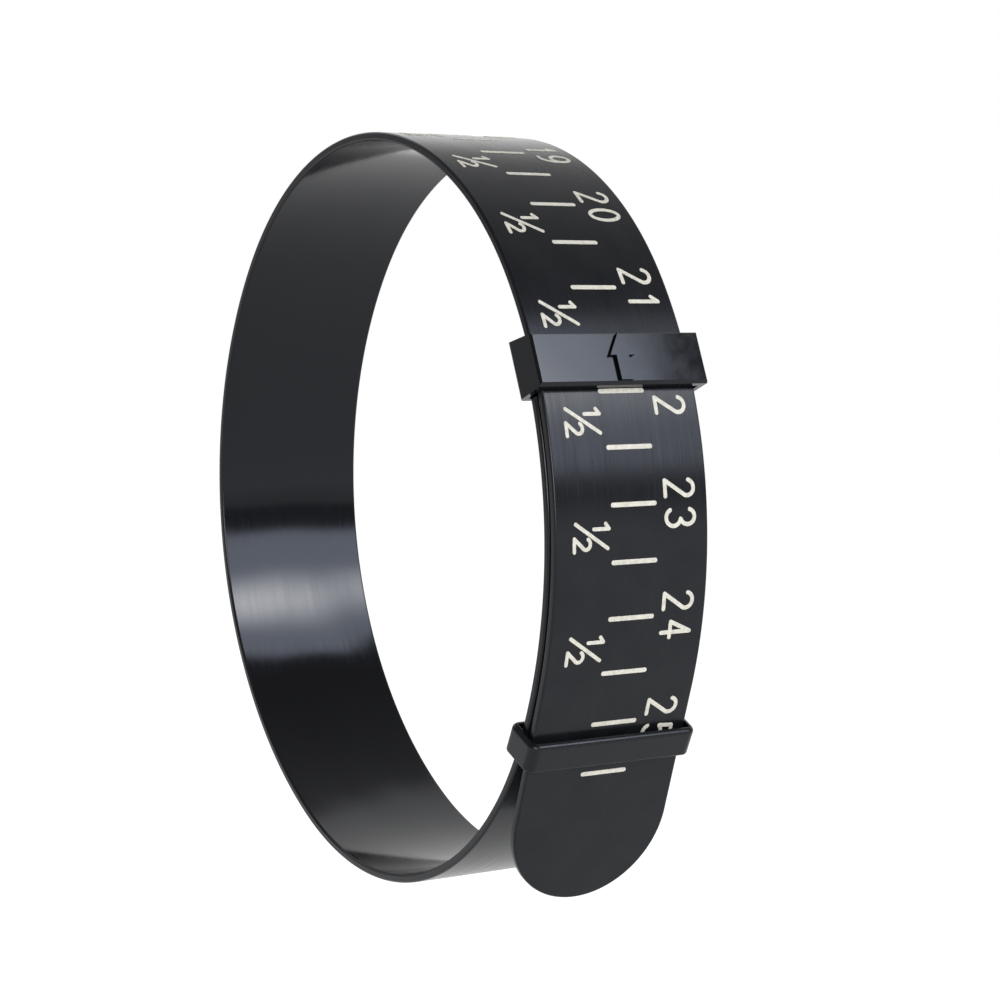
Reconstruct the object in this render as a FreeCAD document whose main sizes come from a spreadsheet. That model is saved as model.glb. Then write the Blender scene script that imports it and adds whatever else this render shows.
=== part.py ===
import FreeCAD, Part
import math
import os

import Sketcher

# Bracelet sizer: a printed strap bent into a standing loop.  Its start is fixed in an arrow
# buckle, its tail slides down through the buckle, and a loose keeper holds both laps together.
# Frame: +Z up, loop axis along Y, the two laps on the +X side, floor at Z = 0.
# The strap is one moulded strip.  It is divided at five flex lines so that it can bend.

DIMENSIONS = (
    ("strap_width", "16.4", "width of the strap"),
    ("strap_thick", "0.8", "thickness of the strap"),
    ("lap_radius", "41.9", "bend radius of the outer lap, to mid-thickness"),
    ("lap_pitch", "1.1", "distance between the mid-thickness lines of the two laps"),
    ("lap_top_deg", "28.8", "where the outer lap begins, above level"),
    ("lap_low_deg", "-23.5", "where the outer lap ends and the straight tip begins"),
    ("inner_top_deg", "19.8", "the start of the strap, inside the buckle"),
    ("inner_low_deg", "-30.9", "where the inner lap runs into the bottom bend"),
    ("bottom_x", "0.408", "centre of the bottom bend"),
    ("bottom_radius", "29.8", "bend radius along the bottom"),
    ("left_radius", "37.5", "bend radius along the far side from the buckle"),
    ("top_radius", "31.5", "bend radius over the top"),
    ("first_flex", "51.6", "strap length from the start to the first flex line"),
    ("flex_pitch", "33.65", "strap length between flex lines"),
    ("flex_gap", "0.1", "gap left at each flex line"),
    ("buckle_deg", "17.81", "angle of the buckle's middle about the laps' centre"),
    ("buckle_length", "5.35", "buckle, along the strap"),
    ("buckle_slope", "0.55", "how far the front plate ends short of the back plate, at the top"),
    ("lower_bevel", "0.3", "bevel along the front plate's lower edge"),
    ("upper_bevel", "0.1", "bevel along the front plate's upper edge"),
    ("buckle_width", "17.9", "buckle, across the strap"),
    ("buckle_front", "0.9", "front plate thickness"),
    ("buckle_back", "0.6", "back plate thickness"),
    ("buckle_play", "0.3", "play between the outer lap and the front plate"),
    ("slot_width", "16.75", "width of the slots in buckle and keeper"),
    ("fixed_play", "0.12", "play round the fixed end of the strap"),
    ("peg_radius", "1", "pegs that hold the fixed end"),
    ("peg_spacing", "9", "distance between the pegs"),
    ("peg_drop", "0.5", "how far the pegs are below the buckle's middle"),
    ("arrow_height", "0.35", "how far the arrow stands on the front plate"),
    ("arrow_head", "2.6", "width of the arrow head"),
    ("arrow_shaft", "1.3", "width of the arrow shaft"),
    ("arrow_barb", "2.1", "length of the arrow head"),
    ("keeper_deg", "-30.1", "angle of the keeper's middle about the laps' centre"),
    ("keeper_length", "2.8", "keeper, along the strap"),
    ("keeper_width", "17.8", "keeper, across the strap"),
    ("keeper_wall", "0.55", "keeper wall"),
    ("keeper_outer", "0.8", "play outside the outer lap"),
    ("keeper_inner", "0.55", "play inside the inner lap"),
    ("tick_length", "4.9", "tick, across the strap"),
    ("tick_stroke", "0.45", "tick, along the strap"),
    ("tick_pitch", "5", "half a centimetre of strap between ticks"),
    ("ink_thick", "0.04", "how far the printed ink stands on the strap"),
)

doc = FreeCAD.newDocument("BraceletSizer")
sheet = doc.addObject("Spreadsheet::Sheet", "Dims")


def fill_sheet():
    for row, (alias, number, note) in enumerate(DIMENSIONS, 1):
        sheet.set(f"A{row}", number)
        sheet.setAlias(f"A{row}", alias)
        sheet.set(f"B{row}", note)
    doc.recompute()


def dim(alias):
    return float(getattr(sheet, alias))


def polar(centre, radius, degrees):
    turn = math.radians(degrees)
    return (centre[0] + radius * math.cos(turn), centre[1] + radius * math.sin(turn))


def bearing(centre, target):
    return math.degrees(math.atan2(target[1] - centre[1], target[0] - centre[0]))


# ---------------------------------------------------------------- the strap's route


class Bend:
    """A stretch of constant radius, travelled clockwise from start to end (degrees)."""

    def __init__(self, centre, radius, rule, start, end):
        self.centre = centre
        self.radius = radius
        self.rule = rule
        self.start = start
        self.end = end
        self.length = math.radians(start - end) * radius


def lap_centre():
    inner = dim("lap_radius") - dim("lap_pitch")
    bottom = (dim("bottom_x"), dim("bottom_radius") + dim("strap_thick") / 2)
    return polar(bottom, dim("bottom_radius") - inner, dim("inner_low_deg"))


def left_centre(bottom, top):
    """Centre of the left bend, tangent to the bottom and top bends from outside them."""
    reach_bottom = dim("left_radius") - dim("bottom_radius")
    reach_top = dim("left_radius") - dim("top_radius")
    apart = math.dist(bottom, top)
    along = (apart**2 + reach_bottom**2 - reach_top**2) / (2 * apart)
    aside = math.sqrt(reach_bottom**2 - along**2)
    heading = bearing(bottom, top)
    return polar(polar(bottom, along, heading), aside, heading - 90)


def bends():
    inner = dim("lap_radius") - dim("lap_pitch")
    laps = lap_centre()
    bottom = (dim("bottom_x"), dim("bottom_radius") + dim("strap_thick") / 2)
    top = polar(laps, dim("lap_radius") - dim("top_radius"), dim("lap_top_deg"))
    left = left_centre(bottom, top)
    low_left = bearing(left, bottom) % 360 - 360
    high_left = bearing(left, top) % 360 - 360
    low = dim("inner_low_deg")
    high = dim("lap_top_deg") - 360
    return (
        Bend(laps, inner, "Dims.lap_radius - Dims.lap_pitch", dim("inner_top_deg"), low),
        Bend(bottom, dim("bottom_radius"), "Dims.bottom_radius", low, low_left),
        Bend(left, dim("left_radius"), "Dims.left_radius", low_left, high_left),
        Bend(top, dim("top_radius"), "Dims.top_radius", high_left, high),
        Bend(laps, dim("lap_radius"), "Dims.lap_radius", high, dim("lap_low_deg") - 360),
    )


def stretch(begin, end):
    """The parts of bends between two lengths along the strap, as (bend, start, end) degrees."""
    parts = []
    passed = 0
    for bend in bends():
        first = max(begin - passed, 0)
        last = min(end - passed, bend.length)
        if last - first > 1e-6:
            start = bend.start - math.degrees(first / bend.radius)
            stop = bend.start - math.degrees(last / bend.radius)
            parts.append((bend, start, stop))
        passed += bend.length
    return parts


# ---------------------------------------------------------------- strap pieces


def facing(degrees):
    """Turns local X outward at that angle round the loop, local Z back along the strap."""
    return FreeCAD.Rotation(FreeCAD.Vector(0, 1, 0), -degrees)


def cylinder(name, radius, height):
    solid = doc.addObject("Part::Cylinder", name)
    solid.setExpression("Radius", radius)
    solid.setExpression("Height", height)
    return solid


def curved_strip(name, bend, start, end):
    outside = cylinder(name + "_outside", bend.rule + " + Dims.strap_thick / 2", "Dims.strap_width")
    outside.Angle = start - end
    inside = cylinder(name + "_inside", bend.rule + " - Dims.strap_thick / 2", "Dims.strap_width")
    strip = doc.addObject("Part::Cut", name)
    strip.Base = outside
    strip.Tool = inside
    upright = FreeCAD.Rotation(FreeCAD.Vector(1, 0, 0), 90)
    turned = FreeCAD.Rotation(FreeCAD.Vector(0, 0, 1), end)
    base = FreeCAD.Vector(bend.centre[0], 0, bend.centre[1])
    strip.Placement = FreeCAD.Placement(base, upright * turned)
    strip.setExpression(".Placement.Base.y", "Dims.strap_width / 2")
    return strip


def fuse(name, solids):
    if len(solids) == 1:
        solids[0].Label = name
        return solids[0]
    whole = doc.addObject("Part::MultiFuse", name)
    whole.Shapes = solids
    whole.Refine = True
    return whole


def strap_piece(name, begin, end, extra=()):
    strips = []
    for count, (bend, start, stop) in enumerate(stretch(begin, end), 1):
        strips.append(curved_strip(f"{name}_bend{count}", bend, start, stop))
    return fuse(name, strips + list(extra))


def fixed_end(name, end):
    """The start of the strap, with two holes for the buckle's pegs."""
    band = strap_piece(name + "_band", 0, end)
    pegs = []
    drop = math.atan(dim("peg_drop") / (dim("lap_radius") - dim("lap_pitch")))
    for side in (-1, 1):
        hole = cylinder(f"{name}_hole{len(pegs) + 1}", "Dims.peg_radius + Dims.fixed_play", "4")
        place_on_laps(hole, dim("buckle_deg") - math.degrees(drop), dim("lap_radius") - 3, 0)
        hole.setExpression(".Placement.Base.y", f"{side} * Dims.peg_spacing / 2")
        pegs.append(hole)
    holes = doc.addObject("Part::MultiFuse", name + "_holes")
    holes.Shapes = pegs
    piece = doc.addObject("Part::Cut", name)
    piece.Base = band
    piece.Tool = holes
    return piece


def place_on_laps(solid, degrees, radius, across):
    """Stands a cylinder on the laps' circle, its axis pointing outward."""
    spot = polar(lap_centre(), radius, degrees)
    outward = FreeCAD.Rotation(FreeCAD.Vector(0, 1, 0), 90)
    base = FreeCAD.Vector(spot[0], across, spot[1])
    solid.Placement = FreeCAD.Placement(base, facing(degrees) * outward)


def straight_tip():
    """The flat end of the tail, with a round end that just touches the floor."""
    low = dim("lap_low_deg")
    start = polar(lap_centre(), dim("lap_radius"), low)
    thick = dim("strap_thick")
    drop = math.cos(math.radians(low))
    lean = abs(math.sin(math.radians(low)))
    length = (start[1] - lean * thick / 2) / drop
    flat = length - dim("strap_width") / 2
    centre = polar(start, flat, low - 90)
    strip = doc.addObject("Part::Box", "tip_strip")
    strip.setExpression("Length", "Dims.strap_thick")
    strip.setExpression("Width", "Dims.strap_width")
    strip.Height = flat
    inward = facing(low).multVec(FreeCAD.Vector(-thick / 2, 0, 0))
    corner = FreeCAD.Vector(centre[0], 0, centre[1]) + inward
    strip.Placement = FreeCAD.Placement(corner, facing(low))
    strip.setExpression(".Placement.Base.y", "-Dims.strap_width / 2")
    disc = cylinder("tip_round", "Dims.strap_width / 2", "Dims.strap_thick")
    outward = FreeCAD.Rotation(FreeCAD.Vector(0, 1, 0), 90)
    disc.Placement = FreeCAD.Placement(corner, facing(low) * outward)
    return [strip, disc]


# ---------------------------------------------------------------- printed scale


def tick(name, strap_length):
    """One printed tick, lying on the outside of the strap at that length."""
    past = strap_length - sum(bend.length for bend in bends())
    if past > 0:
        degrees = dim("lap_low_deg")
        foot = polar(lap_centre(), dim("lap_radius") + dim("strap_thick") / 2, degrees)
        spot = polar(foot, past, degrees - 90)
    else:
        bend, degrees, stop = stretch(strap_length, strap_length + 0.001)[0]
        spot = polar(bend.centre, bend.radius + dim("strap_thick") / 2, degrees)
    bar = doc.addObject("Part::Box", name)
    bar.setExpression("Length", "Dims.ink_thick")
    bar.setExpression("Width", "Dims.tick_length")
    bar.setExpression("Height", "Dims.tick_stroke")
    shift = facing(degrees).multVec(FreeCAD.Vector(0, 0, -dim("tick_stroke") / 2))
    bar.Placement = FreeCAD.Placement(FreeCAD.Vector(spot[0], 0, spot[1]) + shift, facing(degrees))
    bar.setExpression(".Placement.Base.y", "-Dims.tick_length / 2")
    return bar


def ticks(name, first, last):
    """All ticks whose strap length lies between two marks of the scale, in centimetres."""
    bars = []
    for half in range(round(first * 2), round(last * 2) + 1):
        bars.append(tick(f"{name}_{half}", half * dim("tick_pitch")))
    return fuse(name, bars)


# ---------------------------------------------------------------- buckle and keeper


def body_on_laps(name, degrees):
    """A body whose local X is the distance from the laps' centre and local Z runs up the strap."""
    body = doc.addObject("PartDesign::Body", name)
    centre = lap_centre()
    base = FreeCAD.Vector(centre[0], 0, centre[1])
    body.Placement = FreeCAD.Placement(base, facing(degrees))
    return body


def plane_sketch(body, name, plane, offset):
    """A sketch on one of the body's origin planes, moved along its normal."""
    sketch = body.newObject("Sketcher::SketchObject", name)
    support = [item for item in body.Origin.OriginFeatures if item.Role == plane + "_Plane"][0]
    sketch.AttachmentSupport = [(support, "")]
    sketch.MapMode = "FlatFace"
    sketch.setExpression(".AttachmentOffset.Base.z", offset)
    return sketch


def closed_loop(sketch, corners):
    """Adds a closed polygon and returns the number of its first line."""
    first = sketch.GeometryCount
    points = [FreeCAD.Vector(x, y, 0) for x, y in corners]
    for here, there in zip(points, points[1:] + points[:1]):
        sketch.addGeometry(Part.LineSegment(here, there), False)
    for line in range(len(points)):
        after = (line + 1) % len(points)
        sketch.addConstraint(Sketcher.Constraint("Coincident", first + line, 2, first + after, 1))
    return first


def bind(sketch, rule, kind, *where):
    """Adds a dimension whose value comes from the sheet."""
    value = float(doc.Dims.evalExpression(rule))
    index = sketch.addConstraint(Sketcher.Constraint(kind, *where, value))
    sketch.setExpression(f"Constraints[{index}]", rule)


def rectangle(sketch, low, high, width):
    """A rectangle from low to high along sketch X, centred on the X axis."""
    left = float(doc.Dims.evalExpression(low))
    right = float(doc.Dims.evalExpression(high))
    half = float(doc.Dims.evalExpression(width)) / 2
    first = closed_loop(sketch, ((left, -half), (right, -half), (right, half), (left, half)))
    for line in (first, first + 2):
        sketch.addConstraint(Sketcher.Constraint("Horizontal", line))
    sketch.addConstraint(Sketcher.Constraint("Vertical", first + 1))
    sketch.addConstraint(Sketcher.Constraint("Symmetric", first, 1, first + 2, 2, -1))
    bind(sketch, low, "DistanceX", -1, 1, first, 1)
    bind(sketch, high, "DistanceX", -1, 1, first, 2)
    bind(sketch, width, "DistanceY", first + 1, 1, first + 1, 2)


def pad(body, name, sketch, length):
    feature = body.newObject("PartDesign::Pad", name)
    feature.Profile = sketch
    feature.setExpression("Length", length)
    sketch.Visibility = False
    doc.recompute()
    return feature


def edges(feature, wanted):
    """Names of the feature's edges whose midpoint and direction pass the test."""
    names = []
    for number, edge in enumerate(feature.Shape.Edges, 1):
        middle = edge.valueAt((edge.FirstParameter + edge.LastParameter) / 2)
        along = edge.Vertexes[-1].Point - edge.Vertexes[0].Point
        if along.Length > 1e-6 and wanted(middle, along.normalize()):
            names.append(f"Edge{number}")
    return names


def round_edges(body, name, kind, size, wanted):
    """Fillets or chamfers the wanted edges of the body as it is so far."""
    feature = body.Tip
    finish = body.newObject("PartDesign::" + kind, name)
    finish.Base = (feature, edges(feature, wanted))
    finish.setExpression({"Fillet": "Radius", "Chamfer": "Size"}[kind], size)
    body.Tip = finish
    doc.recompute()


def slope_top(body, back, front):
    """Cuts the upper end on a slope that leaves the front plate shorter than the back plate."""
    sketch = plane_sketch(body, "slope_outline", "XZ", "Dims.buckle_width / 2 + 1")
    low = float(doc.Dims.evalExpression(back)) + 0.2
    reach = float(doc.Dims.evalExpression(front)) - low
    end = dim("buckle_length") / 2
    drop = dim("buckle_slope") * (reach + 0.5) / reach
    corners = ((low, end), (low + reach + 0.5, end - drop), (low + reach + 0.5, end + 1), (low, end + 1))
    first = closed_loop(sketch, corners)
    sketch.addConstraint(Sketcher.Constraint("Horizontal", first + 2))
    for line in (first + 1, first + 3):
        sketch.addConstraint(Sketcher.Constraint("Vertical", line))
    bind(sketch, back + " + 0.2", "DistanceX", -1, 1, first, 1)
    bind(sketch, front + " + 0.5", "DistanceX", -1, 1, first + 1, 1)
    bind(sketch, "Dims.buckle_length / 2", "DistanceY", -1, 1, first, 1)
    bind(sketch, "Dims.buckle_length / 2 + 1", "DistanceY", -1, 1, first + 2, 1)
    grade = f"Dims.buckle_slope * ({front} + 0.3 - ({back})) / ({front} - 0.2 - ({back}))"
    bind(sketch, grade, "DistanceY", first + 1, 1, first, 1)
    cut = body.newObject("PartDesign::Pocket", "upper_slope")
    cut.Profile = sketch
    cut.setExpression("Length", "Dims.buckle_width + 2")
    sketch.Visibility = False
    body.Tip = cut
    doc.recompute()


def arrow_sketch(body, front):
    """An arrow that points up the strap, from one edge of the plate's face to the other."""
    sketch = plane_sketch(body, "arrow_outline", "YZ", front)
    top = dim("buckle_length") / 2 - dim("buckle_slope") - dim("upper_bevel")
    foot = dim("lower_bevel") - dim("buckle_length") / 2
    barb = top - dim("arrow_barb")
    head = dim("arrow_head") / 2
    shaft = dim("arrow_shaft") / 2
    corners = (
        (0, top),
        (-head, barb),
        (-shaft, barb),
        (-shaft, foot),
        (shaft, foot),
        (shaft, barb),
        (head, barb),
    )
    first = closed_loop(sketch, corners)
    sketch.addConstraint(Sketcher.Constraint("PointOnObject", first, 1, -2))
    for left, right in ((1, 6), (2, 5), (3, 4)):
        sketch.addConstraint(Sketcher.Constraint("Symmetric", first + left, 1, first + right, 1, -2))
    sketch.addConstraint(Sketcher.Constraint("Horizontal", first + 1))
    sketch.addConstraint(Sketcher.Constraint("Vertical", first + 2))
    bind(sketch, "Dims.arrow_head", "DistanceX", first + 1, 1, first + 6, 1)
    bind(sketch, "Dims.arrow_shaft", "DistanceX", first + 3, 1, first + 4, 1)
    bind(sketch, "Dims.arrow_barb", "DistanceY", first + 1, 1, first, 1)
    face_top = "Dims.buckle_length / 2 - Dims.buckle_slope - Dims.upper_bevel"
    bind(sketch, face_top, "DistanceY", -1, 1, first, 1)
    face = "Dims.buckle_length - Dims.buckle_slope - Dims.upper_bevel - Dims.lower_bevel"
    bind(sketch, face, "DistanceY", first + 3, 1, first, 1)
    return sketch


def arrow_buckle():
    half = "Dims.strap_thick / 2"
    back = f"Dims.lap_radius - Dims.lap_pitch - {half} - Dims.fixed_play"
    roof = f"Dims.lap_radius + {half} + Dims.buckle_play"
    front = roof + " + Dims.buckle_front"
    body = body_on_laps("arrow_buckle", dim("buckle_deg"))
    outline = plane_sketch(body, "buckle_section", "XY", "-Dims.buckle_length / 2")
    rectangle(outline, back + " - Dims.buckle_back", front, "Dims.buckle_width")
    rectangle(outline, back, roof, "Dims.slot_width")
    pad(body, "buckle_ring", outline, "Dims.buckle_length")
    slope_top(body, back + " - Dims.buckle_back", front)

    pegs = plane_sketch(body, "peg_circles", "YZ", back)
    for side in (-1, 1):
        spot = FreeCAD.Vector(side * dim("peg_spacing") / 2, -dim("peg_drop"), 0)
        ring = pegs.addGeometry(Part.Circle(spot, FreeCAD.Vector(0, 0, 1), dim("peg_radius")), False)
        bind(pegs, "Dims.peg_radius", "Radius", ring)
    pegs.addConstraint(Sketcher.Constraint("Symmetric", 0, 3, 1, 3, -2))
    bind(pegs, "Dims.peg_drop", "DistanceY", 0, 3, -1, 1)
    bind(pegs, "Dims.peg_spacing", "DistanceX", 0, 3, 1, 3)
    pad(body, "buckle_pegs", pegs, "Dims.strap_thick")

    outer = float(doc.Dims.evalExpression(front))
    inner = float(doc.Dims.evalExpression(back)) - dim("buckle_back")
    side = dim("buckle_width") / 2
    end = dim("buckle_length") / 2

    def long_edge(mid, way):
        return abs(way.z) > 0.9 and abs(mid.y) > side - 0.01

    def plate_edge(mid, way):
        return abs(way.y) > 0.9 and mid.x > outer - 0.01

    def lower(mid, way):
        return plate_edge(mid, way) and mid.z < 0.01 - end

    def upper(mid, way):
        return plate_edge(mid, way) and mid.z > end - dim("buckle_slope") - 0.01

    def back_corner(mid, way):
        return long_edge(mid, way) and mid.x < inner + 0.01

    def front_corner(mid, way):
        return long_edge(mid, way) and mid.x > outer - 0.01

    round_edges(body, "lower_edge", "Chamfer", "Dims.lower_bevel", lower)
    round_edges(body, "upper_edge", "Chamfer", "Dims.upper_bevel", upper)
    round_edges(body, "back_corners", "Fillet", "0.5", back_corner)
    round_edges(body, "front_corners", "Fillet", "0.25", front_corner)
    pad(body, "arrow", arrow_sketch(body, front), "Dims.arrow_height")
    return body


def keeper():
    half = "Dims.strap_thick / 2"
    inner = f"Dims.lap_radius - Dims.lap_pitch - {half} - Dims.keeper_inner"
    outer = f"Dims.lap_radius + {half} + Dims.keeper_outer"
    body = body_on_laps("keeper", dim("keeper_deg"))
    outline = plane_sketch(body, "keeper_section", "XY", "-Dims.keeper_length / 2")
    rectangle(outline, inner + " - Dims.keeper_wall", outer + " + Dims.keeper_wall", "Dims.keeper_width")
    rectangle(outline, inner, outer, "Dims.slot_width")
    pad(body, "keeper_ring", outline, "Dims.keeper_length")
    side = dim("keeper_width") / 2
    top = dim("keeper_length") / 2
    low_x = float(doc.Dims.evalExpression(inner))
    high_x = float(doc.Dims.evalExpression(outer))
    slot = dim("slot_width") / 2

    def corner(mid, way):
        return abs(way.z) > 0.9 and abs(mid.y) > side - 0.01

    def rim(mid, way):
        outside = mid.x < low_x - 0.1 or mid.x > high_x + 0.1 or abs(mid.y) > slot + 0.1
        return abs(abs(mid.z) - top) < 0.01 and abs(way.z) < 0.1 and outside

    def upper_rim(mid, way):
        return rim(mid, way) and mid.z > 0

    def lower_rim(mid, way):
        return rim(mid, way) and mid.z < 0

    round_edges(body, "end_rounds", "Fillet", "0.9", corner)
    round_edges(body, "upper_rounds", "Fillet", "0.45", upper_rim)
    round_edges(body, "lower_rounds", "Fillet", "0.2", lower_rim)
    return body


# ---------------------------------------------------------------- assembly


def build():
    fill_sheet()
    gap = dim("flex_gap") / 2
    flex = [dim("first_flex") + count * dim("flex_pitch") for count in range(5)]
    names = ("strap_bottom", "strap_lower_left", "strap_upper_left", "strap_top")
    pieces = [fixed_end("strap_fixed_end", flex[0] - gap)]
    for name, begin, end in zip(names, flex, flex[1:]):
        pieces.append(strap_piece(name, begin + gap, end - gap))
    whole_length = sum(bend.length for bend in bends())
    pieces.append(strap_piece("strap_tail", flex[-1] + gap, whole_length, straight_tip()))
    pieces.append(ticks("scale_tick_left", 15, 15))
    pieces.append(ticks("scale_ticks_top", 15.5, 18.5))
    pieces.append(ticks("scale_ticks_tail", 19, 25.5))
    pieces.append(arrow_buckle())
    pieces.append(keeper())
    doc.recompute()
    return pieces


def check(pieces):
    for item in doc.Objects:
        if "Invalid" in item.State or "Error" in item.State:
            raise RuntimeError(f"{item.Label} is {item.State}")
    for piece in pieces:
        if piece.Shape.isNull() or not piece.Shape.isValid():
            raise RuntimeError(f"{piece.Label} has no valid shape")


def export(pieces):
    os.makedirs("parts", exist_ok=True)
    for piece in pieces:
        piece.Shape.exportStep(f"parts/{piece.Label}.step")


assembly = build()
check(assembly)
export(assembly)
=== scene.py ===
import math

import bpy
from mathutils import Matrix, Vector
from mathutils.geometry import delaunay_2d_cdt


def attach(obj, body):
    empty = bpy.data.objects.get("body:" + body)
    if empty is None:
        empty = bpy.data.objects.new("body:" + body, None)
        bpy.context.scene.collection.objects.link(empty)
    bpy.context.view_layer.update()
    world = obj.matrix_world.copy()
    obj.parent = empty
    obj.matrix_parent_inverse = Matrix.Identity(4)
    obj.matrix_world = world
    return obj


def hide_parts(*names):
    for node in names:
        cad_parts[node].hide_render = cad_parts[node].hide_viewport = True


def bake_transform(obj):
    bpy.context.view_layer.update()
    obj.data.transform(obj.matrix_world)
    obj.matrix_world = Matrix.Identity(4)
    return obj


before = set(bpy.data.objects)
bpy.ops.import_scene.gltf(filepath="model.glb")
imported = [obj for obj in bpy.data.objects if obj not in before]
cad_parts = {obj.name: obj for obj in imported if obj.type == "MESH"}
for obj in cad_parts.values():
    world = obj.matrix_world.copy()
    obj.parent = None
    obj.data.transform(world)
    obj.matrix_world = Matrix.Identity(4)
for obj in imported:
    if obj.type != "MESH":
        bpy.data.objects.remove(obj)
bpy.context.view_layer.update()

# Bracelet sizer: a strap bent into a loop, an arrow buckle, a sliding keeper and a printed scale.
# Lengths of the object are millimetres, as in the CAD source.  Meshes, lights and bumps are metres.
MM = 0.001

# The strap, its bends and its flex lines.
STRAP_WIDTH = 16.4
STRAP_THICK = 0.8
STRAP_ROUND = 0.22
LAP_RADIUS = 41.9
LAP_PITCH = 1.1
LAP_TOP = 28.8
LAP_LOW = -23.5
INNER_TOP = 19.8
INNER_LOW = -30.9
BOTTOM_X = 0.408
BOTTOM_RADIUS = 29.8
LEFT_RADIUS = 37.5
TOP_RADIUS = 31.5
FIRST_FLEX = 51.6
FLEX_PITCH = 33.65

# The buckle's pegs, in the start of the strap.
BUCKLE_ANGLE = 17.81
PEG_DROP = 0.5
PEG_SPACING = 9
PEG_HOLE = 1.12

# The printed scale.
INK_HEIGHT = 0.04
TICK_LENGTH = 4.9
TICK_STROKE = 0.42
DIGIT_STROKE = 0.38
HALF_STROKE = 0.34
CENTIMETRE = 10


# ---------------------------------------------------------------- the strap's route


def polar(centre, radius, degrees):
    turn = math.radians(degrees)
    return (centre[0] + radius * math.cos(turn), centre[1] + radius * math.sin(turn))


def bearing(centre, target):
    return math.degrees(math.atan2(target[1] - centre[1], target[0] - centre[0]))


def lay_route():
    """The strap's bends as (centre, radius, start angle, length), travelled clockwise."""
    inner = LAP_RADIUS - LAP_PITCH
    bottom = (BOTTOM_X, BOTTOM_RADIUS + STRAP_THICK / 2)
    laps = polar(bottom, BOTTOM_RADIUS - inner, INNER_LOW)
    top = polar(laps, LAP_RADIUS - TOP_RADIUS, LAP_TOP)
    reach_bottom = LEFT_RADIUS - BOTTOM_RADIUS
    reach_top = LEFT_RADIUS - TOP_RADIUS
    apart = math.dist(bottom, top)
    along = (apart**2 + reach_bottom**2 - reach_top**2) / (2 * apart)
    aside = math.sqrt(reach_bottom**2 - along**2)
    heading = bearing(bottom, top)
    left = polar(polar(bottom, along, heading), aside, heading - 90)
    low_left = bearing(left, bottom) % 360 - 360
    high_left = bearing(left, top) % 360 - 360
    arcs = (
        (laps, inner, INNER_TOP, INNER_LOW),
        (bottom, BOTTOM_RADIUS, INNER_LOW, low_left),
        (left, LEFT_RADIUS, low_left, high_left),
        (top, TOP_RADIUS, high_left, LAP_TOP - 360),
        (laps, LAP_RADIUS, LAP_TOP - 360, LAP_LOW - 360),
    )
    return [(c, r, start, math.radians(start - stop) * r) for c, r, start, stop in arcs]


ROUTE = lay_route()
CURVED = sum(length for centre, radius, start, length in ROUTE)


def station(along):
    """Mid-thickness point at a length along the strap, and the angle that faces outward there."""
    passed = 0
    for centre, radius, start, length in ROUTE:
        if along <= passed + length:
            degrees = start - math.degrees((along - passed) / radius)
            return polar(centre, radius, degrees), degrees
        passed += length
    foot = polar(ROUTE[-1][0], LAP_RADIUS, LAP_LOW)
    return polar(foot, along - CURVED, LAP_LOW - 90), LAP_LOW


def place(along, across, height):
    """A point on the strap: length along it, across it towards +Y, height over mid-thickness."""
    (x, z), degrees = station(along)
    x, z = polar((x, z), height, degrees)
    return Vector((x, across, z)) * MM


def facing(along, across, outward, forward=0.0):
    """A direction at a length along the strap, from its parts across, outward and forward."""
    degrees = station(along)[1]
    out = Vector((math.cos(math.radians(degrees)), 0, math.sin(math.radians(degrees))))
    ahead = Vector((out.z, 0, -out.x))
    return out * outward + Vector((0, across, 0)) + ahead * forward


def tip_start():
    """Length at which the round end of the tail begins."""
    start = polar(ROUTE[-1][0], LAP_RADIUS, LAP_LOW)
    drop = math.cos(math.radians(LAP_LOW))
    lean = abs(math.sin(math.radians(LAP_LOW)))
    return CURVED + (start[1] - lean * STRAP_THICK / 2) / drop - STRAP_WIDTH / 2


# ---------------------------------------------------------------- materials

COOL_GLOSS = (0.9, 0.94, 1)
PLAIN_GLOSS = (1, 1, 1)
UV_SPAN = 100


def new_material(name, colour, roughness, ior, gloss=COOL_GLOSS):
    material = bpy.data.materials.new(name)
    material.use_nodes = True
    shader = material.node_tree.nodes["Principled BSDF"]
    shader.inputs["Base Color"].default_value = (*colour, 1)
    shader.inputs["Roughness"].default_value = roughness
    shader.inputs["IOR"].default_value = ior
    shader.inputs["Specular Tint"].default_value = (*gloss, 1)
    return material, shader


def add_node(tree, kind, **settings):
    node = tree.nodes.new(kind)
    for key, value in settings.items():
        setattr(node, key, value)
    return node


def noise(tree, source, stretch, detail):
    """A noise whose pattern runs stretch cells per unit along each axis of source."""
    mapping = add_node(tree, "ShaderNodeMapping")
    mapping.inputs["Scale"].default_value = stretch
    tree.links.new(source, mapping.inputs["Vector"])
    pattern = add_node(tree, "ShaderNodeTexNoise")
    pattern.inputs["Scale"].default_value = 1
    pattern.inputs["Detail"].default_value = detail
    tree.links.new(mapping.outputs["Vector"], pattern.inputs["Vector"])
    return pattern.outputs["Fac"]


def spread(tree, source, low, high, from_low=0.3, from_high=0.7):
    """Maps a noise, or another range that is given, to values from low to high."""
    ramp = add_node(tree, "ShaderNodeMapRange")
    ramp.inputs["From Min"].default_value = from_low
    ramp.inputs["From Max"].default_value = from_high
    ramp.inputs["To Min"].default_value = low
    ramp.inputs["To Max"].default_value = high
    tree.links.new(source, ramp.inputs["Value"])
    return ramp.outputs["Result"]


def tint(tree, source, dark, light):
    """Runs from a dark to a light colour as source goes from 0 to 1."""
    mix = add_node(tree, "ShaderNodeMix", data_type="RGBA")
    mix.inputs["A"].default_value = (*dark, 1)
    mix.inputs["B"].default_value = (*light, 1)
    tree.links.new(source, mix.inputs["Factor"])
    return mix.outputs["Result"]


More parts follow.
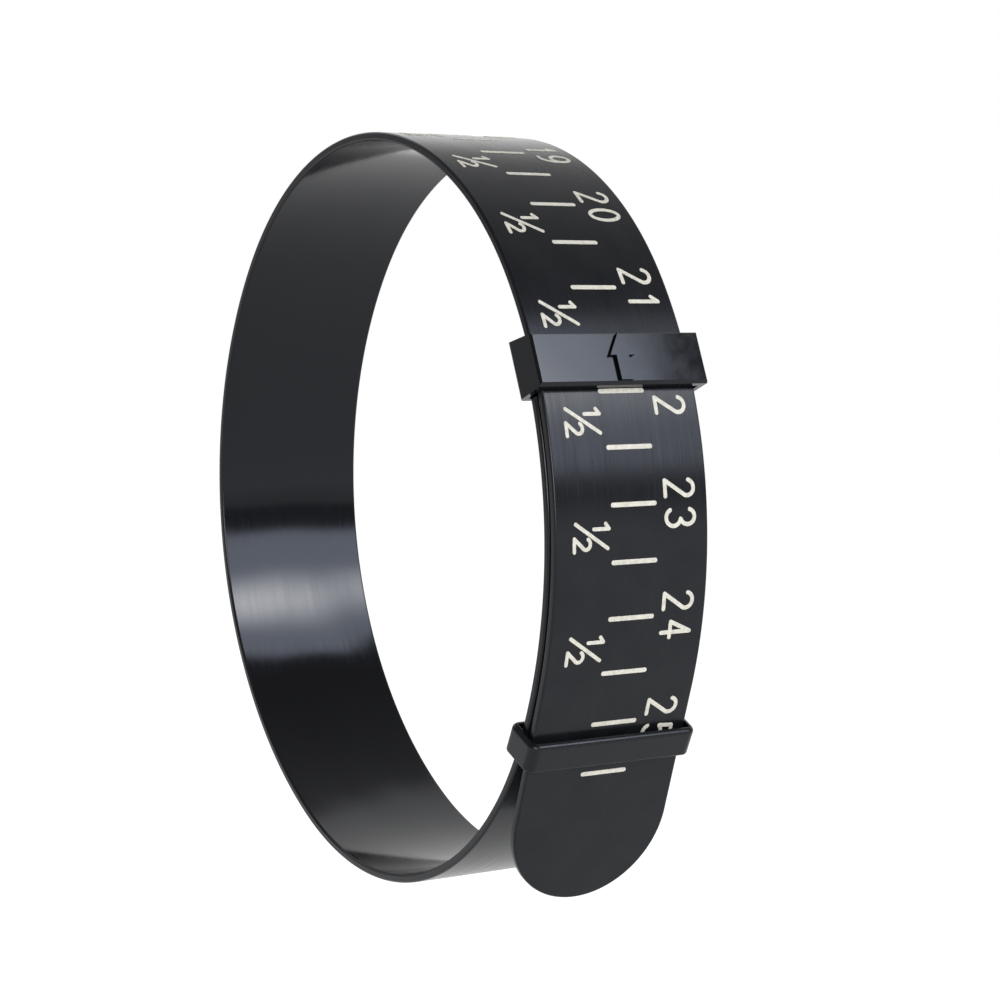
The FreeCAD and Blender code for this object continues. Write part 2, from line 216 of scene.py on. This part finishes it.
def bump(tree, source, distance, below=None):
    """A bump of that height in metres, on top of another one if below is given."""
    node = add_node(tree, "ShaderNodeBump")
    node.inputs["Strength"].default_value = 1
    node.inputs["Distance"].default_value = distance
    tree.links.new(source, node.inputs["Height"])
    if below:
        tree.links.new(below, node.inputs["Normal"])
    return node.outputs["Normal"]


def strap_uv(tree):
    """The strap's own coordinates: 1 is UV_SPAN along it, and UV_SPAN across."""
    return add_node(tree, "ShaderNodeUVMap", uv_map="strap").outputs["UV"]


def outside_finish():
    """Satin black, with streaks drawn lengthwise."""
    material, shader = new_material("strap_satin", (0.006, 0.006, 0.007), 0.36, 1.32)
    tree = material.node_tree
    uv = strap_uv(tree)
    streaks = noise(tree, uv, (6, 420, 1), 4)
    broad = noise(tree, uv, (3, 60, 1), 2)
    cloud = noise(tree, uv, (30, 30, 1), 3)
    tree.links.new(spread(tree, streaks, 0.2, 0.29), shader.inputs["Roughness"])
    shader.inputs["Anisotropic"].default_value = 0.7
    shader.inputs["Anisotropic Rotation"].default_value = 0.25
    tangent = add_node(tree, "ShaderNodeTangent", direction_type="UV_MAP", uv_map="strap")
    tree.links.new(tangent.outputs["Tangent"], shader.inputs["Tangent"])
    cover = spread(tree, cloud, 0, 1)
    colour = tint(tree, cover, (0.0045, 0.0048, 0.006), (0.0075, 0.0078, 0.009))
    tree.links.new(colour, shader.inputs["Base Color"])
    fine = bump(tree, streaks, 0.0000018)
    wide = bump(tree, broad, 0.000008, fine)
    tree.links.new(wide, shader.inputs["Normal"])
    return material


def inside_finish():
    """Glossier black, with the slight ripple of a thin moulded strip."""
    material, shader = new_material("strap_gloss", (0.003, 0.003, 0.004), 0.16, 1.32)
    tree = material.node_tree
    uv = strap_uv(tree)
    streaks = noise(tree, uv, (5, 300, 1), 3)
    ripple = noise(tree, uv, (5, 9, 1), 1)
    tree.links.new(spread(tree, streaks, 0.08, 0.14), shader.inputs["Roughness"])
    fine = bump(tree, streaks, 0.0000008)
    tree.links.new(bump(tree, ripple, 0.00018, fine), shader.inputs["Normal"])
    return material


def moulded_finish(name, low, high, wave):
    """Black moulded plastic: a faint wave that high, and a roughness from low to high."""
    material, shader = new_material(name, (0.003, 0.0033, 0.004), low, 1.35)
    tree = material.node_tree
    spot = add_node(tree, "ShaderNodeTexCoord").outputs["Object"]
    haze = noise(tree, spot, (900, 900, 900), 4)
    swell = noise(tree, spot, (150, 150, 150), 1)
    tree.links.new(spread(tree, haze, low, high), shader.inputs["Roughness"])
    grain = bump(tree, noise(tree, spot, (9000, 9000, 9000), 2), 0.0000006)
    tree.links.new(bump(tree, swell, wave, grain), shader.inputs["Normal"])
    return material


def ink_finish():
    """Ivory print, slightly uneven in cover."""
    material, shader = new_material("ivory_ink", (0.5, 0.485, 0.42), 0.5, 1.4, PLAIN_GLOSS)
    tree = material.node_tree
    spot = add_node(tree, "ShaderNodeTexCoord").outputs["Object"]
    patches = noise(tree, spot, (2600, 2600, 2600), 4)
    cover = spread(tree, patches, 0, 1)
    colour = tint(tree, cover, (0.43, 0.415, 0.35), (0.57, 0.555, 0.49))
    tree.links.new(colour, shader.inputs["Base Color"])
    tree.links.new(bump(tree, patches, 0.000006), shader.inputs["Normal"])
    return material


STRAP_FINISHES = (outside_finish(), inside_finish())
BUCKLE_FINISH = moulded_finish("buckle_gloss", 0.07, 0.12, 0.000012)
KEEPER_FINISH = moulded_finish("keeper_satin", 0.22, 0.32, 0.00001)
INK_FINISH = ink_finish()


# ---------------------------------------------------------------- strap

FLAT_STEPS = 5
ROUND_STEPS = 5
BAND_STEP = 0.5
TIP_STEPS = 60


def new_object(name, points, faces, *materials):
    mesh = bpy.data.meshes.new(name)
    mesh.from_pydata(points, [], faces)
    for material in materials:
        mesh.materials.append(material)
    made = bpy.data.objects.new(name, mesh)
    bpy.context.scene.collection.objects.link(made)
    return made


def half_section():
    """Half of the strap's section, from the middle of the outside to the middle of the inside.

    Each point is (across, height, normal across, normal outward, distance from the middle)."""
    edge = STRAP_THICK / 2
    flat = STRAP_WIDTH / 2 - STRAP_ROUND
    across = [flat * step / FLAT_STEPS for step in range(FLAT_STEPS)]
    outside = [(y, edge, 0, 1, y) for y in across]
    for step in range(ROUND_STEPS + 1):
        bent = 90 * step / ROUND_STEPS
        turn = math.radians(90 - bent)
        side, up = math.cos(turn), math.sin(turn)
        distance = flat + STRAP_ROUND * math.radians(bent)
        spot = (flat + STRAP_ROUND * side, edge - STRAP_ROUND + STRAP_ROUND * up)
        outside.append((*spot, side, up, distance))
    inside = [(y, -h, side, -up, distance) for y, h, side, up, distance in reversed(outside)]
    return outside + inside


def band(name, begin, end, round_tip=False):
    """A length of strap with rounded rims.  Its uv map is length along it and distance across."""
    half = half_section()
    ring = half + [(-y, h, -side, up, -gone) for y, h, side, up, gone in reversed(half[1:-1])]
    size = len(ring)
    steps = math.ceil((end - begin) / BAND_STEP)
    points = []
    faces = [tuple(range(size))]
    for step in range(steps + 1):
        along = begin + (end - begin) * step / steps
        for across, height, side, up, gone in ring:
            points.append((place(along, across, height), facing(along, side, up), along, gone, up))
    for low in range(0, steps * size, size):
        for index in range(size):
            after = (index + 1) % size
            faces.append((low + index, low + size + index, low + size + after, low + after))
    last = steps * size
    if round_tip:
        faces += round_end(points, half, end, last, size)
    else:
        faces.append(tuple(range(last + size - 1, last - 1, -1)))
    made = new_object(name, [point[0] for point in points], faces, *STRAP_FINISHES)
    shade_band(made, points)
    return made


def round_end(points, half, end, last, size):
    """Sweeps half the section round the middle of the tip.  Adds points and returns faces."""
    middle = len(half) - 1
    rows = [list(range(last, last + len(half)))]
    for step in range(1, TIP_STEPS):
        angle = math.radians(180 * step / TIP_STEPS)
        forward, aside = math.sin(angle), math.cos(angle)
        row = [last]
        for across, height, side, up, gone in half[1:-1]:
            spot = place(end + across * forward, across * aside, height)
            normal = facing(end, side * aside, up, side * forward)
            row.append(len(points))
            points.append((spot, normal, end + gone * forward, gone * aside, up))
        rows.append(row + [last + middle])
    rows.append([last] + [last + size - index for index in range(1, middle)] + [last + middle])
    faces = []
    for here, there in zip(rows, rows[1:]):
        faces.append((here[0], there[1], here[1]))
        for index in range(1, middle - 1):
            faces.append((here[index], there[index], there[index + 1], here[index + 1]))
        faces.append((here[middle - 1], there[middle - 1], here[middle]))
    return faces


def shade_band(made, points):
    """Gives the band its true normals, its uv map and the inside's own finish."""
    mesh = made.data
    layer = mesh.uv_layers.new(name="strap")
    normals = []
    for face in mesh.polygons:
        face.use_smooth = True
        cap = len(face.vertices) > 4
        inward = all(points[vertex][4] < -0.99 for vertex in face.vertices)
        face.material_index = int(inward and not cap)
        for loop in face.loop_indices:
            spot, normal, along, gone, up = points[mesh.loops[loop].vertex_index]
            normals.append(tuple(face.normal if cap else normal))
            layer.data[loop].uv = (along / UV_SPAN, gone / UV_SPAN)
    mesh.normals_split_custom_set(normals)


# ---------------------------------------------------------------- flat shapes laid on the strap


def disc(centre, radius, count):
    """The outline of a disc, with that many corners."""
    return [polar(centre, radius, 360 * step / count) for step in range(count)]


def bar(here, there, half):
    """A rectangle round the line from here to there."""
    heading = bearing(here, there)
    sides = (polar((0, 0), half, heading + 90), polar((0, 0), half, heading - 90))
    return [
        (end[0] + side[0], end[1] + side[1])
        for end, order in ((here, sides), (there, sides[::-1]))
        for side in order
    ]


def stroke(path, width):
    """The line that a round pen of that width draws: its path, half width and outlines."""
    shapes = [bar(here, there, width / 2) for here, there in zip(path, path[1:])]
    shapes += [disc(spot, width / 2, 16) for spot in path]
    return path, width / 2, shapes


def gap_to(spot, here, there):
    """Distance from a spot to the line between two others."""
    run = (there[0] - here[0], there[1] - here[1])
    away = (spot[0] - here[0], spot[1] - here[1])
    share = (away[0] * run[0] + away[1] * run[1]) / (run[0] ** 2 + run[1] ** 2)
    share = min(max(share, 0), 1)
    return math.hypot(away[0] - share * run[0], away[1] - share * run[1])


def under_pen(spot, strokes):
    """Whether a spot is inked by any of the strokes."""
    for path, half, shapes in strokes:
        if any(gap_to(spot, here, there) < half for here, there in zip(path, path[1:])):
            return True
    return False


def cut_out(outlines, wanted):
    """Triangles of the flat area that the outlines bound, where their middles are wanted."""
    spots = [Vector(spot) for outline in outlines for spot in outline]
    edges = []
    for outline in outlines:
        first = len(edges)
        count = len(outline)
        edges += [(first + index, first + (index + 1) % count) for index in range(count)]
    spots, edges, triangles = delaunay_2d_cdt(spots, edges, [], 0, 0.00001)[:3]
    kept = []
    for corners in triangles:
        middle = sum((spots[corner] for corner in corners), Vector((0, 0))) / 3
        if wanted(middle):
            kept.append(tuple(corners))
    return spots, kept


def lay_down(name, cuts, low, high, material):
    """Solid plates, bent to follow the strap, each cut from (length along it, across it)."""
    points = []
    faces = []
    for start, spots, triangles in cuts:
        used = sorted({corner for corners in triangles for corner in corners})
        base = {corner: len(points) + index for index, corner in enumerate(used)}
        count = len(used)
        for height in (low, high):
            points += [place(start + spots[corner][0], spots[corner][1], height) for corner in used]
        rims = set()
        for corners in triangles:
            a, b, c = (base[corner] for corner in corners)
            faces.append((a, b, c))
            faces.append((count + a, count + c, count + b))
            for here, there in ((a, b), (b, c), (c, a)):
                if (there, here) in rims:
                    rims.remove((there, here))
                else:
                    rims.add((here, there))
        faces += [(there, here, count + here, count + there) for here, there in sorted(rims)]
    return new_object(name, points, faces, material)


# ---------------------------------------------------------------- printed scale


def arc(centre, across, tall, start, stop, steps):
    """Points round an ellipse, angles in degrees."""
    turns = [math.radians(start + (stop - start) * step / steps) for step in range(steps + 1)]
    return [(centre[0] + across * math.cos(t), centre[1] + tall * math.sin(t)) for t in turns]


# Each digit is drawn in a box 1.45 wide and 3.1 tall, as the paths of a round pen.
DIGITS = {
    "0": [arc((0.72, 1.55), 0.72, 1.55, 90, 450, 28)],
    "1": [[(0.3, 2.45), (0.8, 3.1), (0.8, 0)]],
    "2": [arc((0.72, 2.37), 0.7, 0.73, 165, -20, 12) + [(0.02, 0), (1.42, 0)]],
    "3": [
        arc((0.68, 2.33), 0.68, 0.77, 160, -75, 13) + arc((0.72, 0.79), 0.74, 0.79, 80, -155, 14),
    ],
    "4": [[(0.98, 0), (0.98, 3.1), (0.02, 0.95), (1.45, 0.95)]],
    "5": [[(1.3, 3.1), (0.22, 3.1), (0.14, 1.75)] + arc((0.68, 1.0), 0.75, 1.0, 130, -145, 16)],
    "6": [arc((1.0, 1.5), 0.98, 1.6, 75, 175, 9) + arc((0.72, 0.95), 0.72, 0.95, 180, -180, 22)],
    "7": [[(0.05, 3.1), (1.4, 3.1), (0.45, 0)]],
    "8": [
        arc((0.72, 2.34), 0.62, 0.76, -90, 270, 20) + arc((0.72, 0.79), 0.72, 0.79, 90, -270, 22),
    ],
    "9": [arc((0.72, 2.15), 0.72, 0.95, 0, 360, 22) + arc((0.44, 1.6), 0.98, 1.6, -5, -105, 9)],
}
# Where the marks of one half centimetre stand, from its line and from the strap's middle.
DIGIT_STARTS = (-1.95, 0.65)
DIGIT_BASE = 3.55
HALF_START = -3.5
HALF_BASE = -6.25
TICK_MIDDLE = 0.12
INK_SINK = 0.01


def drawn(paths, width):
    """One mark, cut from the lines that a round pen draws along the paths."""
    strokes = [stroke(path, width) for path in paths]
    outlines = [outline for path, half, shapes in strokes for outline in shapes]
    return cut_out(outlines, lambda spot: under_pen(spot, strokes))


def numeral(text):
    """A two-figure number whose feet point to the tick, read down the strap."""
    paths = []
    for digit, start in zip(text, DIGIT_STARTS):
        for path in DIGITS[digit]:
            paths.append([(start + x, DIGIT_BASE + y) for x, y in path])
    return drawn(paths, DIGIT_STROKE)


def half_sign():
    """The sign for a half, just before its tick: a small 1, a slash and a small 2."""
    one = [(0.05, 3.3), (0.5, 3.65), (0.5, 2.05)]
    slash = [(0, 0.15), (2.2, 3.5)]
    two = arc((1.75, 1.22), 0.48, 0.45, 150, -30, 9) + [(1.25, 0), (2.4, 0)]
    paths = [[(HALF_START + x, HALF_BASE + y) for x, y in path] for path in (one, slash, two)]
    return drawn(paths, HALF_STROKE)


def tick_mark():
    reach = (TICK_LENGTH - TICK_STROKE) / 2
    return drawn([[(0, TICK_MIDDLE - reach), (0, TICK_MIDDLE + reach)]], TICK_STROKE)


def print_marks(name, cuts):
    """One piece of ink, sunk a little into the strap's outside."""
    edge = STRAP_THICK / 2
    made = lay_down(name, cuts, edge - INK_SINK, edge + INK_HEIGHT, INK_FINISH)
    return made


def print_scale(name, first, last):
    """Ticks, numbers and half signs from the first mark to the last, in half centimetres."""
    ticks, numbers, halves = [], [], []
    tick, half = tick_mark(), half_sign()
    for mark in range(first, last + 1):
        along = mark * CENTIMETRE / 2
        ticks.append((along, *tick))
        if mark % 2 == 0:
            numbers.append((along, *numeral(str(mark // 2))))
        elif mark < LAST_MARK:
            halves.append((along, *half))
    return (
        print_marks("ticks_" + name, ticks),
        print_marks("numbers_" + name, numbers),
        print_marks("half_signs_" + name, halves),
    )


# ---------------------------------------------------------------- assembly

# The last mark of the scale, in half centimetres.
LAST_MARK = 51
# Length of the start of the strap, which the buckle hides.
HIDDEN_END = 4.2


def bend_with(piece):
    """Bakes a piece's placement into its mesh."""
    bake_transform(piece)


def fixed_start():
    """The start of the strap inside the buckle, with the holes for its pegs."""
    half = STRAP_WIDTH / 2
    outline = [(0, -half), (HIDDEN_END, -half), (HIDDEN_END, half), (0, half)]
    middle = math.radians(INNER_TOP - BUCKLE_ANGLE) * (LAP_RADIUS - LAP_PITCH) + PEG_DROP
    pegs = [(middle, side * PEG_SPACING / 2) for side in (-1, 1)]
    holes = [disc(peg, PEG_HOLE, 48) for peg in pegs]

    def solid(spot):
        return all(math.dist(spot, peg) > PEG_HOLE for peg in pegs)

    edge = STRAP_THICK / 2
    cut = cut_out([outline] + holes, solid)
    piece = lay_down("strap_start", [(0, *cut)], -edge, edge, STRAP_FINISHES[0])
    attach(piece, "fixed_end")


def build_strap():
    """Five bands that meet midway between flex lines."""
    cuts = [HIDDEN_END] + [FIRST_FLEX + (count + 0.5) * FLEX_PITCH for count in range(4)]
    names = ("strap_inner_lap", "strap_under", "strap_far_low", "strap_far_high", "strap_outer_lap")
    stands_for = (
        ("strap_fixed_end",),
        ("strap_bottom",),
        ("strap_lower_left",),
        ("strap_upper_left",),
        ("strap_top", "strap_tail"),
    )
    for number, (name, nodes) in enumerate(zip(names, stands_for)):
        last = number == len(names) - 1
        end = tip_start() if last else cuts[number + 1]
        piece = band(name, cuts[number], end, round_tip=last)
        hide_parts(*nodes)
        bend_with(piece)


def build_scale():
    """The marks of each band that carries some."""
    for name, first, last, number, nodes in (
        ("far_high", 30, 33, 3, ["scale_tick_left"]),
        ("outer_lap", 34, LAST_MARK, 4, ["scale_ticks_top", "scale_ticks_tail"]),
    ):
        pieces = print_scale(name, first, last)
        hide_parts(*nodes)
        for piece in pieces:
            bend_with(piece)


def finish_node(name, material):
    """Gives a CAD node its material."""
    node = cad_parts[name]
    node.data.materials.clear()
    node.data.materials.append(material)


fixed_start()
build_strap()
build_scale()
finish_node("arrow_buckle", BUCKLE_FINISH)
finish_node("keeper", KEEPER_FINISH)


# ---------------------------------------------------------------- studio

# The camera's place in millimetres, its angles in degrees and its lens on a 36 mm sensor.
CAMERA_SPOT = (206.308, -121.58, 39.19)
CAMERA_AZIMUTH = 58.05
CAMERA_ELEVATION = 0.62
CAMERA_ROLL = -2.46
CAMERA_LENS = 86.76

LOOP_MIDDLE = Vector((0, 0, 0.036))
# The floor is under the lowest place that the tip of the tail comes to when the loop is tightened.
FLOOR_LEVEL = -0.006
FLOOR_REACH = 4


def place_camera():
    """A nearly level view of the doubled side, turned and rolled a little."""
    azimuth = math.radians(CAMERA_AZIMUTH)
    elevation = math.radians(CAMERA_ELEVATION)
    level = math.cos(elevation)
    back = Vector((math.sin(azimuth) * level, -math.cos(azimuth) * level, math.sin(elevation)))
    right = (-back).cross(Vector((0, 0, 1))).normalized()
    up = right.cross(-back)
    turned = Matrix((right, up, back)).transposed()
    data = bpy.data.cameras.new("camera")
    data.lens = CAMERA_LENS
    data.sensor_width = 36
    data.clip_start = 0.01
    data.clip_end = 50
    camera = bpy.data.objects.new("camera", data)
    roll = Matrix.Rotation(math.radians(CAMERA_ROLL), 4, "Z")
    camera.matrix_world = Matrix.Translation(Vector(CAMERA_SPOT) * MM) @ turned.to_4x4() @ roll
    bpy.context.scene.collection.objects.link(camera)
    bpy.context.scene.camera = camera


def aim(direction):
    """A rotation whose local Z points along the direction."""
    return Vector(direction).normalized().to_track_quat("Z", "Y").to_matrix().to_4x4()


def softbox(name, azimuth, elevation, distance, size, radiance, colour, soft):
    """A soft-edged rectangular light that faces the loop, seen from it at those angles.

    Size is its width and height, and soft is the share of each that fades at the edges."""
    level = math.cos(math.radians(elevation))
    direction = Vector((
        math.cos(math.radians(azimuth)) * level,
        math.sin(math.radians(azimuth)) * level,
        math.sin(math.radians(elevation)),
    ))
    data = bpy.data.lights.new(name, "AREA")
    data.shape = "RECTANGLE"
    data.size, data.size_y = size
    data.energy = radiance * math.pi * size[0] * size[1]
    data.color = colour
    data.use_nodes = True
    tree = data.node_tree
    emission = tree.nodes["Emission"]
    spot = add_node(tree, "ShaderNodeTexCoord").outputs["UV"]
    split = add_node(tree, "ShaderNodeSeparateXYZ")
    tree.links.new(spot, split.inputs["Vector"])
    fades = []
    for axis, share in zip("XY", soft):
        off = add_node(tree, "ShaderNodeMath", operation="PINGPONG")
        off.inputs[1].default_value = 0.5
        tree.links.new(split.outputs[axis], off.inputs[0])
        fade = spread(tree, off.outputs["Value"], 0, 1, 0, share / 2)
        fade.node.interpolation_type = "SMOOTHSTEP"
        fades.append(fade)
    both = add_node(tree, "ShaderNodeMath", operation="MULTIPLY")
    tree.links.new(fades[0], both.inputs[0])
    tree.links.new(fades[1], both.inputs[1])
    tree.links.new(both.outputs["Value"], emission.inputs["Strength"])
    lamp = bpy.data.objects.new(name, data)
    lamp.matrix_world = Matrix.Translation(LOOP_MIDDLE + direction * distance) @ aim(direction)
    lamp.visible_camera = False
    bpy.context.scene.collection.objects.link(lamp)


def sun(name, direction, strength, angle):
    """A far light towards that direction, as wide as the angle in degrees."""
    data = bpy.data.lights.new(name, "SUN")
    data.energy = strength
    data.angle = math.radians(angle)
    lamp = bpy.data.objects.new(name, data)
    lamp.matrix_world = aim(direction)
    bpy.context.scene.collection.objects.link(lamp)


def lay_floor():
    """A pale floor that glows a little, as a light table does."""
    signs = ((-1, -1), (1, -1), (1, 1), (-1, 1))
    corners = [(FLOOR_REACH * x, FLOOR_REACH * y, 0) for x, y in signs]
    material, shader = new_material("pale_floor", (0.22, 0.22, 0.22), 0.8, 1.3, PLAIN_GLOSS)
    shader.inputs["Emission Color"].default_value = (1, 1, 1, 1)
    shader.inputs["Emission Strength"].default_value = 0.92
    floor = new_object("floor", corners, [(0, 1, 2, 3)], material)
    floor.location.z = FLOOR_LEVEL


def light_world():
    """White to the camera, and a studio that is bright behind the loop and dim in front of it."""
    world = bpy.data.worlds.new("studio")
    world.use_nodes = True
    bpy.context.scene.world = world
    tree = world.node_tree
    room = tree.nodes["Background"]
    room.inputs["Color"].default_value = (1, 1, 1, 1)
    direction = add_node(tree, "ShaderNodeTexCoord").outputs["Generated"]
    behind = add_node(tree, "ShaderNodeVectorMath", operation="DOT_PRODUCT")
    behind.inputs[1].default_value = (-0.77, 0.64, 0)
    tree.links.new(direction, behind.inputs[0])
    glow = spread(tree, behind.outputs["Value"], 0.27, 0.6, -0.1, 0.6)
    tree.links.new(glow, room.inputs["Strength"])
    seen = add_node(tree, "ShaderNodeBackground")
    seen.inputs["Color"].default_value = (1, 1, 1, 1)
    rays = add_node(tree, "ShaderNodeLightPath")
    mix = add_node(tree, "ShaderNodeMixShader")
    tree.links.new(rays.outputs["Is Camera Ray"], mix.inputs["Fac"])
    tree.links.new(room.outputs["Background"], mix.inputs[1])
    tree.links.new(seen.outputs["Background"], mix.inputs[2])
    tree.links.new(mix.outputs["Shader"], tree.nodes["World Output"].inputs["Surface"])


place_camera()
lay_floor()
light_world()
sun("key", (0.88, -0.45, 0.12), 2.1, 25)
softbox("window", 30.2, 26.6, 0.5, (0.13, 0.18), 18, (1, 0.96, 0.92), (1, 1))
softbox("window_glow", 29.6, 24.4, 0.5, (0.168, 0.34), 6, (0.85, 0.9, 1.05), (0.08, 0.16))
softbox("back_card", 137, 22, 0.12, (0.3, 0.15), 0.8, (1, 1, 1), (0.3, 0.35))
softbox("back_fill", 190, 45, 0.6, (0.35, 0.35), 1.6, (0.9, 0.95, 1), (0.6, 0.6))
bpy.context.scene.view_settings.view_transform = "Standard"
